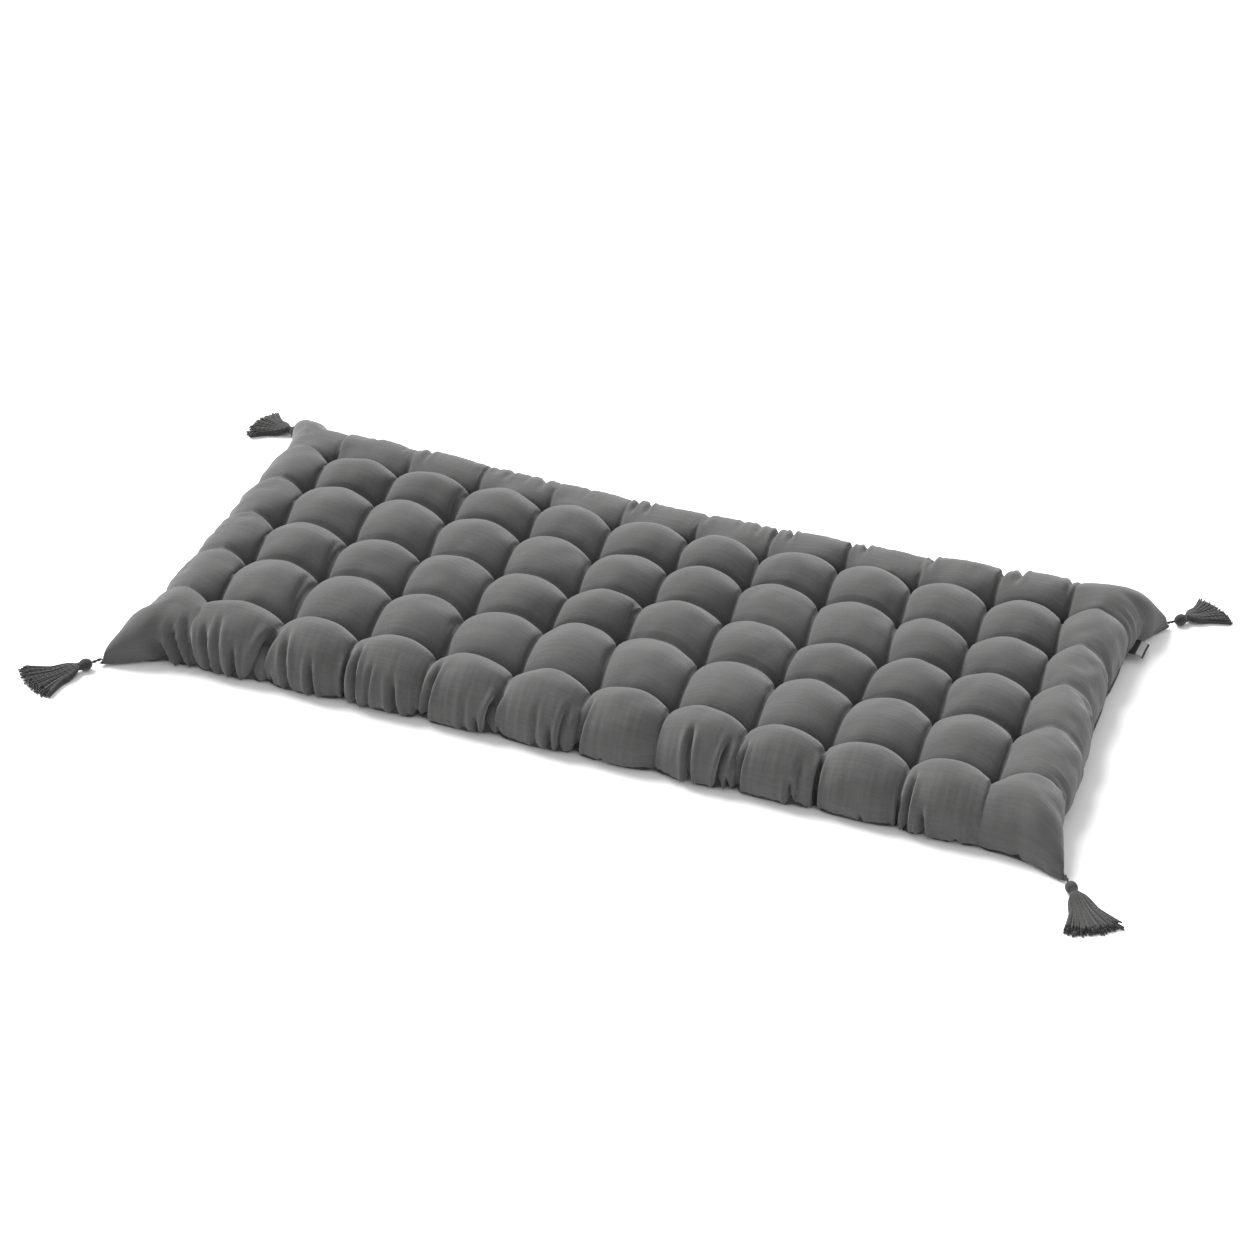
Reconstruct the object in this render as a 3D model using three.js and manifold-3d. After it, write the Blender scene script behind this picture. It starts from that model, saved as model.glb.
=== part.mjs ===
// Floor mattress: one filled cotton cover, tufted in a square grid, with a tassel at
// each corner and a small bare tag sewn into one short side.
// Millimetres, +Z up. X runs along the length, Y across it, and the floor is Z = 0.
import * as THREE from 'three';
import { mergeVertices } from 'three/addons/utils/BufferGeometryUtils.js';
import Module from 'manifold-3d';

const wasm = await Module();
wasm.setup();

// Cover
const COLUMNS = 12; // pillows along the length
const ROWS = 6; // pillows across it
const PITCH = 98.4; // from one tuft to the next
// The four corner tips, which lie unevenly, and the ear that each ends. Full says how
// soon the side swings out to the tip, top is the ear's height there, sharp how fast it
// thins out, and bulge how far it swells past the short side.
const TIPS = [
  { left: true, near: true, x: 594, y: 316, full: 0.65, top: 13, sharp: 0.9, bulge: 0 },
  { left: false, near: true, x: 603, y: 304, full: 0.85, top: 13, sharp: 0.9, bulge: 0 },
  { left: true, near: false, x: 576, y: 316, full: 0.85, top: 34, sharp: 0.1, bulge: 34 },
  { left: false, near: false, x: 605, y: 307, full: 0.85, top: 13, sharp: 0.9, bulge: 0 },
];
// The bulge of each side, drawn in between the tips.
const SIDES = { left: 568, right: 582, near: 287, far: 284 };
const CROWN = 80; // height of a pillow's top
const ROUND = 1.8; // how round a pillow's top is: 1 is a half ellipse, 2 a parabola
// The far side sags in towards its middle and its pillows are slacker there.
const FAR_SAG = { middle: -80, half: 620, drawnIn: 12, lower: 22 };
const LEFT_LOWER = 9; // how much slacker the pillows of the left side are
const TUFT = 31; // height of the top cloth at a tuft
const SADDLE = 26; // rise of a crease halfway between two tufts
const BELLY = 30; // height at which an edge pillow is widest
const SEAM = 12; // height of the edge seam
const TIP_SEAM = 8; // and at a corner tip
const EAR_BELLY = 0.07; // share of an edge pillow by which an ear's belly lies further in
const NOTCH = 15; // how far a crease draws the side in
const TUCK = 0.1; // share of an edge pillow's outer half that turns in under the belly
const CREST = 0.45; // share of an edge pillow's width at which it is highest
const GATHER = 5; // depth of the deepest gather in the sides
const UNEVEN = 2.5; // how much the pillows' heights differ

// Underside
const UNDER_TUFT = 9; // height of the bottom cloth at a tuft
const UNDER_CREASE = 5; // and halfway between two tufts
const GROOVE = 15; // half the width of a groove
const PAD_INSET = 26; // from the sides to where the underside rests flat

// Tassels
const TIE = { radius: 1.9, start: 0.4, height: 9 };
const HEAD = { from: 10, length: 16, radius: 7.5 };
const NECK = { length: 4, radius: 4.5 };
const COLLAR = { length: 9, radius: 7, narrower: 0.8, flare: 3 };
const SKIRT = { spread: 31, layers: 4, strands: 10, uneven: 4, rootWidth: 0.7, rootStep: 2.4 };
const STRAND = { width: 2.2, height: 2.1, gap: 0.5 };
const TASSELS = [
  { name: 'tassel_front_left', tip: 0, heading: -128, skirt: 68 },
  { name: 'tassel_front_right', tip: 1, heading: -58, skirt: 74 },
  { name: 'tassel_back_left', tip: 2, heading: 172, skirt: 56 },
  { name: 'tassel_back_right', tip: 3, heading: 51, skirt: 66 },
];

// Tag
const TAG = { along: 34, out: 11, thick: 1.6, x: 579.5, y: 224, gap: 0.4, droop: 3, turn: 3 };

const CLOTH = { color: 0x4a4a4a, roughness: 0.95, metalness: 0 };
const YARN = { color: 0x3b3b3a, roughness: 0.95, metalness: 0 };
const WOVEN_TAG = { color: 0x1c1c1c, roughness: 0.8, metalness: 0 };

const lerp = THREE.MathUtils.lerp;
const radians = THREE.MathUtils.degToRad;

// A repeatable uneven value from -1 to 1 for a place in a row or a grid.
function unevenness(i, j = 0) {
  return Math.sin(12.9898 * i + 78.233 * j + 1.3) * Math.cos(4.1 * i - 2.7 * j);
}

function meshOf(name, geometry, finish) {
  const mesh = new THREE.Mesh(geometry, new THREE.MeshStandardMaterial(finish));
  mesh.name = name;
  return mesh;
}

function indexedGeometry(points, triangles) {
  const geometry = new THREE.BufferGeometry();
  geometry.setAttribute('position', new THREE.Float32BufferAttribute(points.flat(), 3));
  geometry.setIndex(triangles.flat());
  return geometry;
}

// Stations across one direction of the cover, from seam to seam. Each has its lift,
// 0 in a crease and 1 on a pillow's crest, and its place: at, in pitches, for the
// inner pillows, or out, a share of the edge pillow's width, past the last tufts.
function edgeStations(side, cell) {
  const list = [];
  for (let step = 1; step <= 3; step++) {
    const angle = (step * Math.PI) / 6;
    const out = CREST * (1 - Math.cos(angle));
    const lift = Math.sin(angle) ** ROUND;
    list.push({ side, cell, out, lift, falling: false, seam: false });
  }
  for (let step = 1; step <= 4; step++) {
    const angle = (step * Math.PI) / 8;
    const out = CREST + (1 - CREST) * Math.sin(angle);
    const lift = Math.max(0, Math.cos(angle));
    list.push({ side, cell, out, lift, falling: true, seam: false });
  }
  list.push({ side, cell, out: 1, lift: 0, falling: true, seam: true });
  return list;
}

function innerStations(count) {
  const list = [];
  const last = count / 2 - 1;
  for (let cell = -last; cell < last; cell++) {
    for (let step = 0; step < 6; step++) {
      const angle = (step * Math.PI) / 6;
      const at = cell + 0.5 - 0.5 * Math.cos(angle);
      list.push({ side: 0, cell, at, lift: Math.sin(angle) ** ROUND, falling: false, step });
    }
  }
  list.push({ side: 0, cell: last, at: last, lift: 0, falling: false, step: 0 });
  return list;
}

function stations(count) {
  const last = count / 2 - 1;
  const low = edgeStations(-1, -last - 1).reverse();
  return [...low, ...innerStations(count), ...edgeStations(1, last)];
}

// How far into the ear a station of the other direction lies, from 0 to 1.
function earShare(other) {
  return other.falling ? (other.out - CREST) / (1 - CREST) : 0;
}

// How much the far side sags at a station along it, from 0 to 1.
function farSag(u) {
  const line = (COLUMNS / 2 - 1 + (u.out ?? 0)) * u.side;
  const x = (u.side === 0 ? u.at : line) * PITCH;
  const turn = ((x - FAR_SAG.middle) / FAR_SAG.half) * (Math.PI / 2);
  return Math.abs(turn) < Math.PI / 2 ? Math.cos(turn) : 0;
}

function tipOf(u, v) {
  return TIPS.find((tip) => tip.left === u.side < 0 && tip.near === v.side < 0);
}

// How much a crease or a gather of the other direction draws the side in.
function drawnIn(other) {
  if (other.falling) return 0;
  const gathered = other.side === 0 && other.step % 2 === 0 && other.step > 0;
  const deep = 0.5 + 0.5 * unevenness(other.cell, other.step);
  return NOTCH * (1 - other.lift) ** 2 + (gathered ? GATHER * deep : 0);
}

// The place of a station in its own direction, which depends on the other one:
// side is how far the side lies from the middle, and tip is the corner's row.
function placeOf(own, other, count, side, tip, axis) {
  if (own.side === 0) return own.at * PITCH;
  const line = (count / 2 - 1) * PITCH;
  const ear = earShare(other);
  const bulge = axis === 'x' ? tip.bulge * Math.sin(Math.PI * ear ** 2) : 0;
  const reach = lerp(side + bulge, tip[axis], ear ** tip.full) - line;
  const tucked = own.seam ? TUCK * (1 - ear) : 0;
  const belly = own.seam ? 0 : EAR_BELLY * ear * own.out;
  const out = own.out - (1 - CREST) * (tucked + belly);
  const drawn = own.falling ? drawnIn(other) * own.out : 0;
  return own.side * (line + reach * out - drawn);
}

function pointOf(u, v) {
  const tip = tipOf(u, v);
  const sag = v.side > 0 ? FAR_SAG.drawnIn * farSag(u) * (1 - earShare(u)) : 0;
  const x = placeOf(u, v, COLUMNS, u.side < 0 ? SIDES.left : SIDES.right, tip, 'x');
  const y = placeOf(v, u, ROWS, (v.side < 0 ? SIDES.near : SIDES.far) - sag, tip, 'y');
  return [x, y, heightOf(u, v)];
}

// Height of the top cloth.
function heightOf(u, v) {
  const slack = (v.side > 0 ? FAR_SAG.lower * farSag(u) : 0) + (u.side < 0 ? LEFT_LOWER : 0);
  const swell = CROWN - TUFT + UNEVEN * unevenness(u.cell, v.cell) - slack;
  if (u.falling && v.falling) {
    const tip = tipOf(u, v);
    const ear = (1 - u.lift) * (1 - v.lift);
    const low = lerp(BELLY, tip.top, ear);
    const thin = u.lift ** (1 + tip.sharp * (1 - v.lift));
    const thinToo = v.lift ** (1 + tip.sharp * (1 - u.lift));
    if (u.seam || v.seam) return lerp(SEAM, TIP_SEAM, Math.max(ear, u.seam && v.seam ? 1 : 0));
    return low + thin * thinToo * (TUFT + swell - low);
  }
  if (u.seam || v.seam) return SEAM;
  if (u.falling || v.falling) {
    const [fall, along] = u.falling ? [u, v] : [v, u];
    const crest = TUFT + SADDLE * (1 - along.lift) + swell * along.lift;
    return BELLY + fall.lift * (crest - BELLY);
  }
  const crease = u.lift + v.lift - 2 * u.lift * v.lift;
  return TUFT + SADDLE * crease + swell * u.lift * v.lift;
}

// Lines of the underside in one direction: each groove has a middle and two edges.
function underLines(count, low, high) {
  const last = count / 2 - 1;
  const lines = [{ at: PAD_INSET - low, groove: false }];
  for (let tuft = -last; tuft <= last; tuft++) {
    lines.push({ at: tuft * PITCH - GROOVE, groove: false });
    lines.push({ at: tuft * PITCH, groove: true });
    lines.push({ at: tuft * PITCH + GROOVE, groove: false });
  }
  lines.push({ at: high - PAD_INSET, groove: false });
  return lines;
}

function underHeight(a, b) {
  if (a.groove && b.groove) return UNDER_TUFT;
  return a.groove || b.groove ? UNDER_CREASE : 0;
}

// The indices round the border of a grid, anticlockwise seen from above.
function borderOf(wide, deep, index) {
  const border = [];
  for (let i = 0; i < wide; i++) border.push(index(i, 0));
  for (let j = 0; j < deep; j++) border.push(index(wide, j));
  for (let i = wide; i > 0; i--) border.push(index(i, deep));
  for (let j = deep; j > 0; j--) border.push(index(0, j));
  return border;
}

// Triangles between an outer and an inner border, each starting at the same corner.
// Their corners meet, and between two corners both are walked at the same rate.
function strip(outer, outerWide, outerDeep, inner, innerWide, innerDeep) {
  const triangles = [];
  let a = 0;
  let b = 0;
  for (const [fine, coarse] of [
    [outerWide, innerWide],
    [outerDeep, innerDeep],
    [outerWide, innerWide],
    [outerDeep, innerDeep],
  ]) {
    let i = 0;
    let j = 0;
    while (i < fine || j < coarse) {
      const p = outer[(a + i) % outer.length];
      const q = inner[(b + j) % inner.length];
      if (j === coarse || (i < fine && (i + 0.5) / fine <= (j + 0.5) / coarse)) {
        triangles.push([p, q, outer[(a + i + 1) % outer.length]]);
        i += 1;
      } else {
        triangles.push([p, q, inner[(b + j + 1) % inner.length]]);
        j += 1;
      }
    }
    a += fine;
    b += coarse;
  }
  return triangles;
}

function mattress() {
  const points = [];
  const triangles = [];
  const us = stations(COLUMNS);
  const vs = stations(ROWS);
  const wide = us.length - 1;
  const deep = vs.length - 1;
  for (const v of vs) {
    for (const u of us) points.push(pointOf(u, v));
  }
  const top = (i, j) => j * (wide + 1) + i;
  for (let j = 0; j < deep; j++) {
    for (let i = 0; i < wide; i++) {
      const [a, b, c, d] = [top(i, j), top(i + 1, j), top(i + 1, j + 1), top(i, j + 1)];
      const mirrored = (i < wide / 2) !== (j < deep / 2);
      if (mirrored) triangles.push([a, b, d], [b, c, d]);
      else triangles.push([a, b, c], [a, c, d]);
    }
  }
  const first = points.length;
  const columns = underLines(COLUMNS, SIDES.left, SIDES.right);
  const rows = underLines(ROWS, SIDES.near, SIDES.far - FAR_SAG.drawnIn);
  const across = columns.length - 1;
  const along = rows.length - 1;
  for (const row of rows) {
    for (const column of columns) points.push([column.at, row.at, underHeight(column, row)]);
  }
  const under = (i, j) => first + j * (across + 1) + i;
  for (let j = 0; j < along; j++) {
    for (let i = 0; i < across; i++) {
      const [a, b, c, d] = [under(i, j), under(i + 1, j), under(i + 1, j + 1), under(i, j + 1)];
      triangles.push([a, c, b], [a, d, c]);
    }
  }
  const seam = borderOf(wide, deep, top);
  const pads = borderOf(across, along, under);
  triangles.push(...strip(seam, wide, deep, pads, across, along));
  return meshOf('mattress', indexedGeometry(points, triangles), CLOTH);
}

// A closed body through sections, which are loops with the same number of points.
function loft(sections) {
  const sides = sections[0].length;
  const triangles = [];
  for (let s = 0; s + 1 < sections.length; s++) {
    for (let k = 0; k < sides; k++) {
      const next = (k + 1) % sides;
      const [a, b] = [s * sides + k, s * sides + next];
      triangles.push([a, b, b + sides], [a, b + sides, a + sides]);
    }
  }
  const end = (sections.length - 1) * sides;
  for (let k = 1; k + 1 < sides; k++) {
    triangles.push([0, k + 1, k], [end, end + k, end + k + 1]);
  }
  return indexedGeometry(sections.flat(), triangles);
}

function solidOf(geometry) {
  const bare = geometry.clone();
  bare.deleteAttribute('normal');
  bare.deleteAttribute('uv');
  const merged = mergeVertices(bare, 1e-4);
  const vertProperties = new Float32Array(merged.attributes.position.array);
  const triVerts = new Uint32Array(merged.index.array);
  return new wasm.Manifold(new wasm.Mesh({ numProp: 3, vertProperties, triVerts }));
}

function geometryOf(solid) {
  const mesh = solid.getMesh();
  const geometry = new THREE.BufferGeometry();
  geometry.setAttribute('position', new THREE.BufferAttribute(mesh.vertProperties, 3));
  geometry.setIndex(new THREE.BufferAttribute(mesh.triVerts, 1));
  return geometry;
}

// The tie, head, neck and collar: one turned body along X.
function tasselCore() {
  const axis = HEAD.radius;
  const neckAt = HEAD.from + HEAD.length;
  const profile = [new THREE.Vector2(0, HEAD.from + 0.5)];
  for (let step = 1; step < 6; step++) {
    const angle = (step * Math.PI) / 6;
    const along = HEAD.from + (HEAD.length / 2) * (1 - Math.cos(angle));
    profile.push(new THREE.Vector2(HEAD.radius * Math.sin(angle), along));
  }
  profile.push(new THREE.Vector2(NECK.radius, neckAt));
  profile.push(new THREE.Vector2(NECK.radius, neckAt + NECK.length));
  const collarEnd = neckAt + NECK.length + COLLAR.length;
  profile.push(new THREE.Vector2(COLLAR.radius, neckAt + NECK.length + COLLAR.flare));
  profile.push(new THREE.Vector2(COLLAR.radius * COLLAR.narrower, collarEnd));
  profile.push(new THREE.Vector2(0, collarEnd));
  const turned = new THREE.LatheGeometry(profile, 10);
  turned.rotateZ(-Math.PI / 2);
  turned.translate(0, 0, axis);
  return turned;
}

function tie() {
  const run = HEAD.from + 3 - TIE.start;
  const cord = new THREE.CylinderGeometry(TIE.radius, TIE.radius, run, 8);
  cord.rotateZ(-Math.PI / 2);
  cord.rotateY(Math.atan2(TIE.height - HEAD.radius, run));
  cord.translate(TIE.start + run / 2, 0, (TIE.height + HEAD.radius) / 2);
  return cord;
}

// One strand of the skirt: a three-sided yarn from the collar out to its tip.
function strand(layer, place, length) {
  const root = HEAD.from + HEAD.length + NECK.length + COLLAR.flare;
  const fan = radians(SKIRT.spread) * place;
  const floor = layer * (STRAND.height + STRAND.gap);
  const rise = (layer - (SKIRT.layers - 1) / 2) * SKIRT.rootStep;
  const rootZ = HEAD.radius + rise - STRAND.height / 2;
  const stops = [
    { out: 0, z: rootZ, spread: 0.5 },
    { out: 0.5, z: floor, spread: 1 },
    { out: 1, z: floor, spread: 1 },
  ];
  const half = STRAND.width / 2;
  return loft(
    stops.map(({ out, z, spread }) => {
      const turn = fan * spread;
      const x = root + out * length * Math.cos(turn);
      const y = COLLAR.radius * SKIRT.rootWidth * place + out * length * Math.sin(turn);
      const [sine, cosine] = [Math.sin(turn), Math.cos(turn)];
      return [
        [x + half * sine, y - half * cosine, z],
        [x - half * sine, y + half * cosine, z],
        [x, y, z + STRAND.height],
      ];
    }),
  );
}

function tasselGeometry(seed, skirt) {
  const parts = [solidOf(tasselCore()), solidOf(tie())];
  for (let layer = 0; layer < SKIRT.layers; layer++) {
    for (let k = 0; k < SKIRT.strands; k++) {
      const shift = layer % 2 === 0 ? 0.25 : 0.75;
      const place = ((k + shift) / SKIRT.strands) * 2 - 1;
      const length = skirt + SKIRT.uneven * unevenness(k + seed, layer);
      parts.push(solidOf(strand(layer, place, length)));
    }
  }
  return geometryOf(wasm.Manifold.union(parts));
}

function tassel({ name, tip, heading, skirt }, seed) {
  const mesh = meshOf(name, tasselGeometry(seed, skirt), YARN);
  const { left, near, x, y } = TIPS[tip];
  mesh.position.set(left ? -x : x, near ? -y : y, 0);
  mesh.rotation.z = radians(heading);
  return mesh;
}

// The tag stands out of the seam and droops a little.
function tag() {
  const sections = [0, 0.5, 1].map((share) => {
    const x = TAG.out * share;
    const z = SEAM - TAG.droop * share ** 2;
    const half = TAG.along / 2;
    const thick = TAG.thick / 2;
    return [
      [x, -half, z - thick],
      [x, half, z - thick],
      [x, half, z + thick],
      [x, -half, z + thick],
    ];
  });
  const mesh = meshOf('label_tag', loft(sections), WOVEN_TAG);
  mesh.position.set(TAG.x + TAG.gap, TAG.y, 0);
  mesh.rotation.z = radians(-TAG.turn);
  return mesh;
}

const floorMattress = new THREE.Group();
floorMattress.add(mattress());
TASSELS.forEach((row, index) => floorMattress.add(tassel(row, 7 * index)));
floorMattress.add(tag());

export default floorMattress;
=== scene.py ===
import math

import bpy
import numpy as np
from mathutils import Matrix, Vector


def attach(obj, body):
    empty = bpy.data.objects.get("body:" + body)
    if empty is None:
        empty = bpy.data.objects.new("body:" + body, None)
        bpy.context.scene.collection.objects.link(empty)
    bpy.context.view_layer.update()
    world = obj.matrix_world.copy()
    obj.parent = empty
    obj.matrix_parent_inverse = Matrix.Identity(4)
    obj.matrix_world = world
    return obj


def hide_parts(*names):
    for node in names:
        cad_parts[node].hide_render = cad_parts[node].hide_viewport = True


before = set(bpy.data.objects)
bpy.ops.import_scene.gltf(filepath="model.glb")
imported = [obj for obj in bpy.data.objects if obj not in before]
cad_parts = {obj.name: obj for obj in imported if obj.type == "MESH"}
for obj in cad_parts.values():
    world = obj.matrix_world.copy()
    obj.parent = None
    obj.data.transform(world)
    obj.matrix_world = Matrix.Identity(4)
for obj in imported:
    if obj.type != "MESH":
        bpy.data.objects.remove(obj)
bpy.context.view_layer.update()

# Floor mattress: one filled cotton cover, tufted in a square grid, with a yarn tassel
# at each corner and a small bare tag in one short side. Metres, +Z up, floor at Z = 0.

scene = bpy.context.scene

# Cover
COLUMNS = 12  # pillows along the length
ROWS = 6  # pillows across it
PITCH = 0.0984  # from one tuft to the next
MM = 0.001
# The four corner tips, by which side and end they lie at.
TIPS = {
    (-1, -1): (0.594, 0.316),
    (1, -1): (0.603, 0.304),
    (-1, 1): (0.576, 0.316),
    (1, 1): (0.605, 0.307),
}
SIDES = {"left": 0.568, "right": 0.58, "near": 0.285, "far": 0.284}
START_CROWN = 0.079  # and before the filling swells it
ROUND = 1.8  # how round a pillow's top is: 1 is a half ellipse, 2 a parabola
# Where the far and the right side are drawn in, over what length and how far, and how
# much lower the far pillows are there
FAR_SAG = {"middle": -0.08, "half": 0.62, "drawn_in": 0.012, "lower": 0.022}
RIGHT_SAG = {"middle": 0.08, "half": 0.18, "drawn_in": 0.012}
LEFT_LOWER = 0.009  # how much slacker the pillows of the left side are
TUFT = 0.031  # height of the top cloth at a tuft
SADDLE = 0.026  # rise of a crease halfway between two tufts
BELLY = 0.03  # height at which an edge pillow is widest
SEAM = 0.002  # height of the edge seam, which the belly hides
LOWEST = 0.001  # and the least height of the top cloth anywhere
EAR = {"top": 0.01, "seam": 0.004, "sharpness": 0.9, "fullness": 0.85}
EAR_BELLY = 0.07  # how much an ear's sides lie back from its seam, as a share of its outer half
FULL_EAR = {"top": 0.034, "sharpness": 0.1, "bulge": 0.034}  # back left, full to its tip
WIDE_EAR = {"fullness": 0.65}  # front left
# How far a crease draws each side in, and how much shallower it gets on its way there
NOTCH = {"left": 0.007, "right": 0.004, "near": 0.013, "far": 0.004}
NOTCH_SHARP = 1.4  # how quickly that ends to both sides of the crease
SHALLOW = {"left": 0.6, "right": 0.65, "near": 0.05, "far": 0.62}
END_SHALLOW = {"left": 0.6, "right": 0.65, "near": 0.6, "far": 0.7}  # next to the corners
END_REACH = 0.7  # how far from the last tuft line that is felt, in pitches
TUCK = 0.28  # share of an edge pillow's outer half that turns in under the belly
TUCK_TURN = math.radians(78)  # how far round the belly turns down to the seam
CREST = 0.45  # share of an edge pillow's width at which it is highest
UNEVEN = 0.0025  # how much the pillows' heights differ
# The tufting is done by hand. How far each row of tufts lies from its even place towards
# the far side, and by how much some tufts, by column and row, lie off that again.
ROW_SHIFT = {-2: -0.002, -1: 0.013, 0: 0.011, 1: 0.011, 2: -0.002}
OFF_GRID = {
    (2, -2): (0, -0.005), (3, -2): (-0.005, -0.005),
    (-2, -1): (0, -0.01), (0, -1): (-0.01, 0.015), (3, -1): (0, -0.005), (4, -1): (0, -0.005),
    (-1, 0): (0.005, -0.01), (0, 0): (0, 0.005), (1, 0): (0, 0.01), (2, 0): (0.005, -0.01),
    (3, 0): (0.01, -0.01),
    (-4, 1): (-0.005, 0.01), (-3, 1): (-0.005, 0.005), (-1, 1): (0, -0.01), (4, 1): (0, -0.015),
    (-1, 2): (0, -0.01), (1, 2): (0, -0.01), (2, 2): (0, 0.01), (5, 2): (-0.005, 0.005),
}

# Steps along and across an inner pillow, and across the rise, fall and tuck of an edge one
ALONG_STEPS, ACROSS_STEPS = 24, 10
RISE_STEPS, FALL_STEPS, TUCK_STEPS = 6, 8, 5
CROWDED = 0.4  # how much closer the steps are in a crease, from 0 to 1
FINER = 2  # how many times finer the finished cloth is than the simulated one
COARSER = 4  # and how many of its steps make one step of the underside

# Underside
UNDER_TUFT = 0.009
UNDER_CREASE = 0.005
GROOVE = 0.015  # half the width of a groove
PAD_INSET = 0.026  # from the sides to where the underside rests flat
UNDER_TUCK = 0.12  # share of an edge pillow's width that its tuck adds to the walk out to the seam

# What a station, a place along one direction of the cover, holds
STATION = [
    ("side", float), ("cell", float), ("out", float), ("at", float),
    ("lift", float), ("falling", bool), ("seam", float),
]


def lerp(a, b, share):
    return a + (b - a) * share


def unevenness(i, j):
    """A repeatable uneven value from -1 to 1 for a place in a grid."""
    return np.sin(12.9898 * i + 78.233 * j + 1.3) * np.cos(4.1 * i - 2.7 * j)


def edge_stations(side, cell):
    """From the last tuft line out to the seam."""
    rows = []
    for step in range(1, RISE_STEPS + 1):
        angle = step / RISE_STEPS * math.pi / 2
        out = CREST * (1 - math.cos(angle))
        rows.append((side, cell, out, 0, math.sin(angle) ** ROUND, False, 0))
    for step in range(1, FALL_STEPS + 1):
        angle = step / FALL_STEPS * math.pi / 2
        out = CREST + (1 - CREST) * math.sin(angle)
        rows.append((side, cell, out, 0, max(0, math.cos(angle)), True, 0))
    for step in range(1, TUCK_STEPS + 1):
        rows.append((side, cell, 1, 0, 0, True, step / TUCK_STEPS))
    return rows


def stations(count, steps):
    """Places across one direction of the cover, from seam to seam. Lift is 0 in a
    crease and 1 on a crest, at is in pitches, and out is a share of an edge pillow."""
    last = count // 2 - 1
    rows = edge_stations(-1, -last - 1)[::-1]
    for cell in range(-last, last):
        for step in range(steps):
            share = step / steps
            place = lerp(share, (1 - math.cos(share * math.pi)) / 2, CROWDED)
            lift = (1 - (2 * place - 1) ** 2) ** (ROUND / 2)
            rows.append((0, cell, 0, cell + place, lift, False, 0))
    rows.append((0, last, 0, last, 0, False, 0))
    rows += edge_stations(1, last)
    return np.array(rows, dtype=STATION)


def ear_share(other):
    """How far into the ear a station of the other direction lies, from 0 to 1."""
    return np.where(other["falling"], (other["out"] - CREST) / (1 - CREST), 0)


def end_share(own, count):
    """1 on the last tuft line, and less and less away from it."""
    last = count / 2 - 1
    line = np.where(own["side"] == 0, np.abs(own["at"]), last + own["out"])
    return np.clip(1 - np.abs(line - last) / END_REACH, 0, 1)


def softened(own, other, count, low, high):
    """The lift of a station where the other direction's edge pillows make creases
    shallower, with the shares for its low and its high side."""
    end = end_share(own, count)
    shallow = lerp(
        np.where(other["side"] < 0, SHALLOW[low], SHALLOW[high]),
        np.where(other["side"] < 0, END_SHALLOW[low], END_SHALLOW[high]), end,
    )
    shallow = shallow * (other["side"] != 0) * np.minimum(other["out"] / CREST, 1)
    return np.where(own["falling"], own["lift"], 1 - (1 - own["lift"]) * (1 - shallow))


def place_of(own, other, count, side, notch, tip, fullness):
    """The place of a station in its own direction, which depends on the other one."""
    line = (count / 2 - 1) * PITCH
    ear = ear_share(other)
    reach = np.where(ear > 0, lerp(side, tip, ear**fullness), side) - line
    tucked = (1 - np.cos(own["seam"] * TUCK_TURN)) * TUCK * (1 - ear)
    belly = (1 - own["seam"]) * EAR_BELLY * ear * own["out"]
    out = own["out"] - (1 - CREST) * (tucked + belly)
    drawn = notch * (1 - other["lift"]) ** NOTCH_SHARP * own["out"]
    drawn = np.where(own["falling"] & ~other["falling"], drawn, 0)
    outer = own["side"] * (line + reach * out - drawn)
    return np.where(own["side"] == 0, own["at"] * PITCH, outer)


def sag_share(row, count, sag):
    """How much a side sags at a station along it, from 0 to 1."""
    line = (count / 2 - 1 + row["out"]) * row["side"]
    place = np.where(row["side"] == 0, row["at"], line) * PITCH
    turn = (place - sag["middle"]) / sag["half"] * math.pi / 2
    return np.where(np.abs(turn) < math.pi / 2, np.cos(turn), 0)


def height_of(u, v, crown):
    """Height of the top cloth."""
    far_slack = (v["side"] > 0) * FAR_SAG["lower"] * sag_share(u, COLUMNS, FAR_SAG)
    slack = far_slack + (u["side"] < 0) * LEFT_LOWER
    swell = crown - TUFT + UNEVEN * unevenness(u["cell"], v["cell"]) - slack
    ear = (1 - u["lift"]) * (1 - v["lift"])
    full = (u["side"] < 0) & (v["side"] > 0)
    low = lerp(BELLY, np.where(full, FULL_EAR["top"], EAR["top"]), ear)
    sharpness = np.where(full, FULL_EAR["sharpness"], EAR["sharpness"])
    thin = u["lift"] ** (1 + sharpness * (1 - v["lift"]))
    thin = thin * v["lift"] ** (1 + sharpness * (1 - u["lift"]))
    at_tip = (u["seam"] > 0) & (v["seam"] > 0)
    seam = lerp(SEAM, EAR["seam"], np.where(at_tip, 1, ear))
    tucked = np.sin(np.maximum(u["seam"], v["seam"]) * TUCK_TURN) / math.sin(TUCK_TURN)
    corner = lerp(low + thin * (TUFT + swell - low), seam, tucked)
    lift_u = softened(u, v, COLUMNS, "near", "far")
    lift_v = softened(v, u, ROWS, "left", "right")
    fall = np.where(u["falling"], lift_u, lift_v)
    along = np.where(u["falling"], lift_v, lift_u)
    crest = TUFT + SADDLE * (1 - along) + swell * along
    side = lerp(BELLY + fall * (crest - BELLY), SEAM, tucked)
    both = lift_u * lift_v
    inner = TUFT + SADDLE * (lift_u + lift_v - 2 * both) + swell * both
    outside = np.where(u["falling"] & v["falling"], corner, side)
    return np.where(u["falling"] | v["falling"], outside, inner)


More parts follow.
